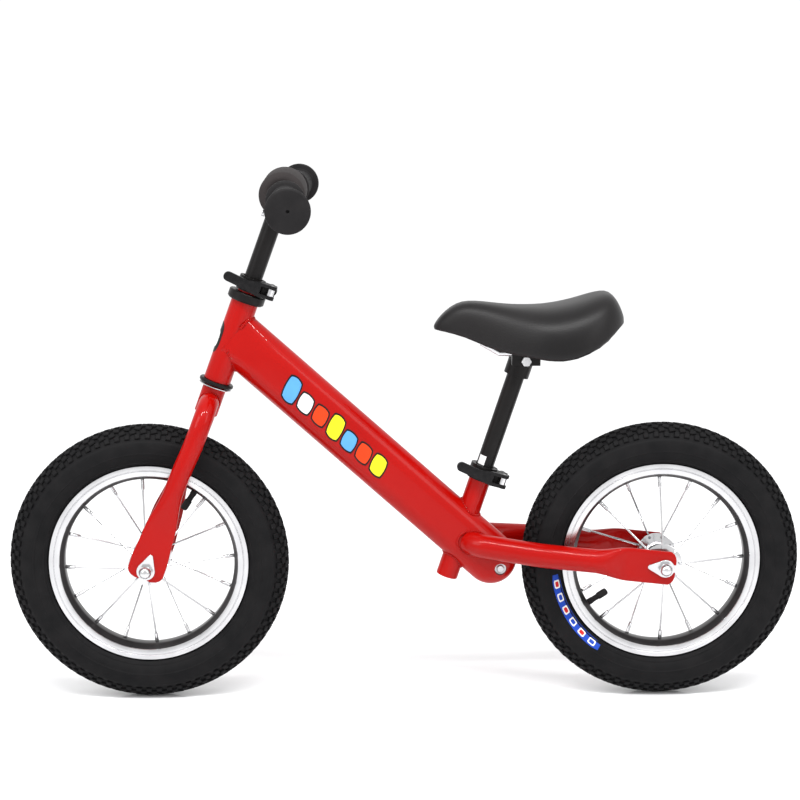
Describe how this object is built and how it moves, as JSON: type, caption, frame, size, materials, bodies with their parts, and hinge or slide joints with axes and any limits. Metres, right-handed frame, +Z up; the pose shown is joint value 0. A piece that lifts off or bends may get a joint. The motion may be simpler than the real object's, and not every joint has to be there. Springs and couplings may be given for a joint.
{
  "type": "balance bike",
  "caption": "Child's balance bike with a welded steel frame, spoked wheels on air tyres, a padded saddle and a T handlebar, both height adjustable by quick clamps.",
  "frame": {"origin": "on the ground, midway between the two axles and on the bike's centre plane", "axes": "+X towards the rear wheel, +Y to the rider's right, +Z up"},
  "size_m": [0.8508, 0.402, 0.571],
  "materials": {
    "red_paint": "gloss red paint",
    "black_paint": "satin black",
    "black_plastic": "moulded black plastic",
    "lever_plastic": "moulded black plastic",
    "chrome_steel": "bright plated steel",
    "steel": "zinc plated steel",
    "tyre_rubber": "black knobby rubber",
    "rubber": "black rubber",
    "foam": "matte foam sleeve",
    "saddle_cover": "soft black synthetic leather"
  },
  "bodies": {
    "frame": {"head_tube": "red_paint", "main_tube": "red_paint", "seat_tube": "red_paint", "chain_stay_left": "red_paint", "chain_stay_right": "red_paint", "nose_bolt": "steel", "headset_upper_cup": "black_plastic", "headset_lower_cup": "black_plastic", "headset_balls": "steel", "seat_collar": "lever_plastic", "seat_skewer": "chrome_steel", "seat_skewer_nut": "lever_plastic", "seat_lever_barrel": "chrome_steel", "rear_axle": "chrome_steel", "rear_cones": "steel", "rear_lock_nuts": "steel", "rear_hub_balls": "steel", "rear_tab_washers": "chrome_steel", "rear_axle_nuts": "chrome_steel"},
    "fork": {"steerer": "red_paint", "fork_blade_left": "red_paint", "fork_blade_right": "red_paint", "crown_race": "steel", "headset_top_nut": "black_plastic", "stem_collar": "lever_plastic", "stem_skewer": "chrome_steel", "stem_skewer_nut": "lever_plastic", "stem_lever_barrel": "chrome_steel", "front_axle": "chrome_steel", "front_cones": "steel", "front_lock_nuts": "steel", "front_hub_balls": "steel", "front_tab_washers": "chrome_steel", "front_axle_nuts": "chrome_steel"},
    "handlebar": {"stem": "black_paint", "handlebar_tube": "black_paint", "handlebar_sleeve": "foam", "sleeve_screw": "steel", "grip_left": "rubber", "grip_right": "rubber"},
    "seat": {"seat_post": "black_paint", "rail_clamp": "black_plastic", "rail_clamp_bolt": "steel", "saddle_rails": "steel", "saddle_base": "black_plastic", "saddle": "saddle_cover"},
    "front_wheel": {"front_tyre": "tyre_rubber", "front_inner_tube": "rubber", "front_rim": "chrome_steel", "front_hub": "chrome_steel", "front_spokes": "chrome_steel", "front_nipples": "chrome_steel", "front_valve": "rubber"},
    "rear_wheel": {"rear_tyre": "tyre_rubber", "rear_inner_tube": "rubber", "rear_rim": "chrome_steel", "rear_hub": "chrome_steel", "rear_wheel_spokes": "chrome_steel"},
    "stem_lever": {"stem_clamp_lever": "lever_plastic"},
    "seat_lever": {"seat_clamp_lever": "lever_plastic"}
  },
  "joints": [
    {"name": "steering", "type": "hinge", "parent": "frame", "child": "fork", "pos_m": [-0.19964, 0, 0.3478], "axis": [0.342, 0, 0.9397], "continuous": true},
    {"name": "bar_height", "type": "slide", "parent": "fork", "child": "handlebar", "axis": [0.342, 0, 0.9397], "range_m": [-0.04, 0.015]},
    {"name": "seat_height", "type": "slide", "parent": "frame", "child": "seat", "axis": [0.3156, 0, 0.9489], "range_m": [-0.07, 0.015]},
    {"name": "front_wheel_spin", "type": "hinge", "parent": "fork", "child": "front_wheel", "pos_m": [-0.27536, 0, 0.15], "axis": [0, 1, 0], "continuous": true},
    {"name": "rear_wheel_spin", "type": "hinge", "parent": "frame", "child": "rear_wheel", "pos_m": [0.27536, 0, 0.15], "axis": [0, 1, 0], "continuous": true},
    {"name": "stem_lever_swing", "type": "hinge", "parent": "fork", "child": "stem_lever", "pos_m": [-0.14206, -0.012, 0.44167], "axis": [0.342, 0, 0.9397], "range_deg": [0, 160]},
    {"name": "seat_lever_swing", "type": "hinge", "parent": "frame", "child": "seat_lever", "pos_m": [0.10358, -0.012, 0.23852], "axis": [0.3156, 0, 0.9489], "range_deg": [0, 160]}
  ]
}
